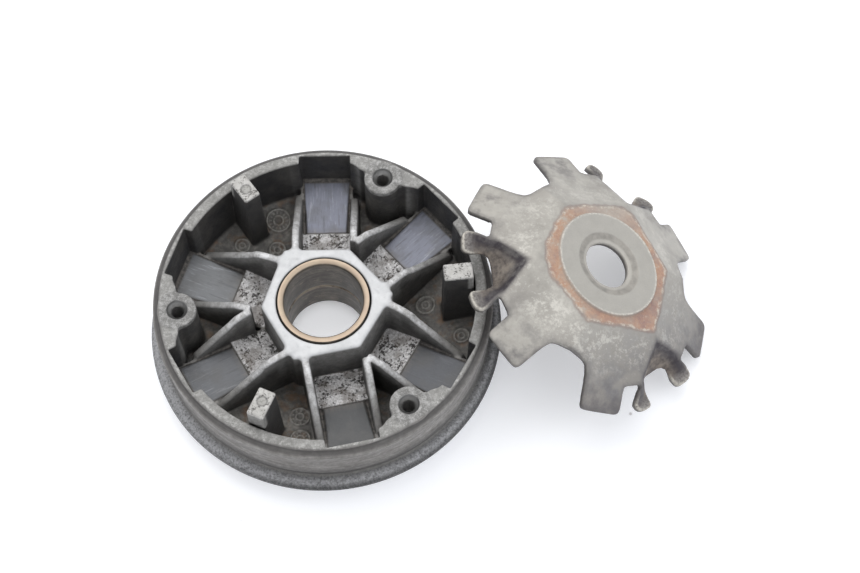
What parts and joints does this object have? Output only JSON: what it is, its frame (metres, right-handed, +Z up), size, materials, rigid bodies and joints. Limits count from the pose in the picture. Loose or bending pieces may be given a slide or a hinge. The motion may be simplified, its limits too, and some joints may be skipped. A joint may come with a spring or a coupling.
{
  "type": "cvt pulley set",
  "caption": "Scooter belt-drive movable sheave with roller pockets, its stamped ramp plate leaning on the rim, and the drive boss, roller weights and slide pieces laid out beside it.",
  "frame": {"origin": "bottom centre of the whole set's box, on the bench; the sheave's bore axis is at x -34.32 mm, y +66.49 mm and the drive boss's axis at x -34.32 mm, y -78.51 mm", "axes": "+Z up along the sheave's bore axis, out of the roller pockets; +X from the sheave towards the leaning ramp plate; -Y towards the pieces laid out on the bench"},
  "size_m": [0.1836, 0.248, 0.0458],
  "materials": {
    "movable_sheave": "cast, oily and worn",
    "upper_bush": "turned bronze",
    "lower_bush": "turned bronze, dark with grease",
    "ramp_plate": "stamped steel, stained, rust ring",
    "drive_boss": "ground and hardened",
    "roller_1_sleeve": "moulded polyamide",
    "roller_2_sleeve": "moulded polyamide",
    "roller_3_sleeve": "moulded polyamide",
    "roller_4_sleeve": "moulded polyamide",
    "roller_5_sleeve": "moulded polyamide",
    "roller_6_sleeve": "moulded polyamide",
    "roller_1_core": "turned",
    "roller_2_core": "turned",
    "roller_3_core": "turned",
    "roller_4_core": "turned",
    "roller_5_core": "turned",
    "roller_6_core": "turned",
    "slide_piece_1": "moulded polyamide",
    "slide_piece_2": "moulded polyamide",
    "slide_piece_3": "moulded polyamide"
  },
  "bodies": {
    "sheave": {"movable_sheave": "movable_sheave", "upper_bush": "upper_bush", "lower_bush": "lower_bush"},
    "crank_boss": {"drive_boss": "drive_boss", "slide_piece_1": "slide_piece_1", "slide_piece_2": "slide_piece_2", "slide_piece_3": "slide_piece_3"},
    "cam_plate": {"ramp_plate": "ramp_plate"},
    "roller_1": {"roller_1_sleeve": "roller_1_sleeve", "roller_1_core": "roller_1_core"},
    "roller_2": {"roller_2_sleeve": "roller_2_sleeve", "roller_2_core": "roller_2_core"},
    "roller_3": {"roller_3_sleeve": "roller_3_sleeve", "roller_3_core": "roller_3_core"},
    "roller_4": {"roller_4_sleeve": "roller_4_sleeve", "roller_4_core": "roller_4_core"},
    "roller_5": {"roller_5_sleeve": "roller_5_sleeve", "roller_5_core": "roller_5_core"},
    "roller_6": {"roller_6_sleeve": "roller_6_sleeve", "roller_6_core": "roller_6_core"}
  },
  "joints": [
    {"name": "sheave_shift", "type": "slide", "parent": "sheave", "child": "crank_boss", "axis": [0, 0, 1], "range_m": [0, 0.0073]},
    {"name": "plate_lift", "type": "slide", "parent": "crank_boss", "child": "cam_plate", "axis": [0.4579, 0.0457, 0.8878], "range_m": [0, 0.03]},
    {"name": "roller_1_travel", "type": "slide", "parent": "sheave", "child": "roller_1", "axis": [0.7379, 0.6621, 0.1305], "range_m": [0, 0.0118]},
    {"name": "roller_2_travel", "type": "slide", "parent": "sheave", "child": "roller_2", "axis": [-0.0156, 0.9913, 0.1305], "range_m": [0, 0.0118]},
    {"name": "roller_3_travel", "type": "slide", "parent": "sheave", "child": "roller_3", "axis": [-0.9424, 0.308, 0.1305], "range_m": [0, 0.0118]},
    {"name": "roller_4_travel", "type": "slide", "parent": "sheave", "child": "roller_4", "axis": [-0.8507, -0.5091, 0.1305], "range_m": [0, 0.0118]},
    {"name": "roller_5_travel", "type": "slide", "parent": "sheave", "child": "roller_5", "axis": [0.2044, -0.9701, 0.1305], "range_m": [0, 0.0118]},
    {"name": "roller_6_travel", "type": "slide", "parent": "sheave", "child": "roller_6", "axis": [0.8663, -0.4822, 0.1305], "range_m": [0, 0.0118]}
  ],
  "couplings": [
    {"joint": "roller_1_travel", "follows": "sheave_shift", "ratio": 1.61},
    {"joint": "roller_2_travel", "follows": "sheave_shift", "ratio": 1.61},
    {"joint": "roller_3_travel", "follows": "sheave_shift", "ratio": 1.61},
    {"joint": "roller_4_travel", "follows": "sheave_shift", "ratio": 1.61},
    {"joint": "roller_5_travel", "follows": "sheave_shift", "ratio": 1.61},
    {"joint": "roller_6_travel", "follows": "sheave_shift", "ratio": 1.61}
  ]
}
